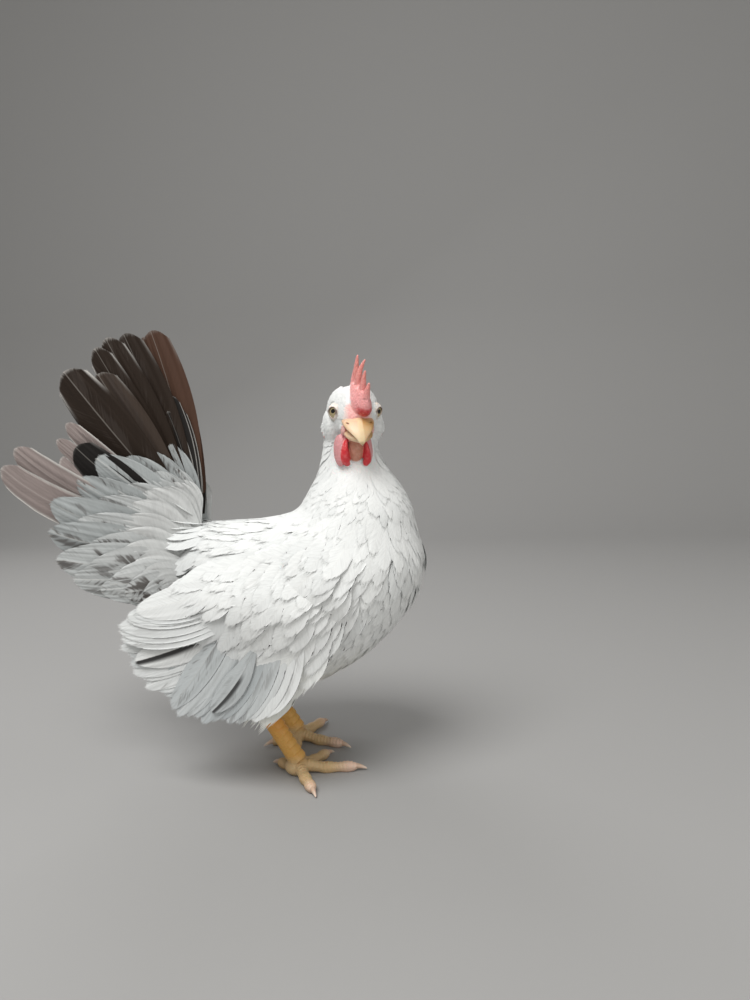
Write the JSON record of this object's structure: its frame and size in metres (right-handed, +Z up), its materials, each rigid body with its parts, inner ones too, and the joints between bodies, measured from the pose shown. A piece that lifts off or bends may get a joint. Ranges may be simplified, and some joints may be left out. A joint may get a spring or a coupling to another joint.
{
  "type": "japanese bantam hen",
  "caption": "Still, life-size Japanese bantam hen standing on short legs, with a tall fanned tail, low drooping wings, a single comb and the head turned to its right.",
  "frame": {"origin": "middle of the bounding box, at the level of the floor that the feet stand on", "axes": "+X the way the body faces, +Y the bird's left side, +Z up"},
  "size_m": [0.2422, 0.1178, 0.257],
  "materials": {
    "feather": "matte white body feathers with a bluish-grey shade",
    "tail_feather": "matte brown-black tail feathers with pale rims",
    "comb_skin": "pebbly pink-red skin",
    "wattle_skin": "soft folded red skin",
    "earlobe_skin": "soft pink skin",
    "beak_horn": "satin pale yellow horn",
    "eye": "wet olive-yellow iris",
    "leg_scale": "scaled yellow-orange skin",
    "claw_horn": "satin pale horn"
  },
  "bodies": {
    "root": {"torso": "feather", "neck": "feather", "head": "feather", "comb": "comb_skin", "beak_upper": "beak_horn", "beak_lower": "beak_horn", "wattle_right": "wattle_skin", "earlobe_right": "earlobe_skin", "eye_right": "eye", "wing_right": "feather", "tail_right": "tail_feather", "thigh_right": "feather", "leg_right": "leg_scale", "claw_right_middle": "claw_horn", "claw_right_outer": "claw_horn", "claw_right_inner": "claw_horn", "claw_right_hind": "claw_horn", "wattle_left": "wattle_skin", "earlobe_left": "earlobe_skin", "eye_left": "eye", "wing_left": "feather", "tail_left": "tail_feather", "thigh_left": "feather", "leg_left": "leg_scale", "claw_left_middle": "claw_horn", "claw_left_outer": "claw_horn", "claw_left_inner": "claw_horn", "claw_left_hind": "claw_horn"}
  },
  "joints": []
}
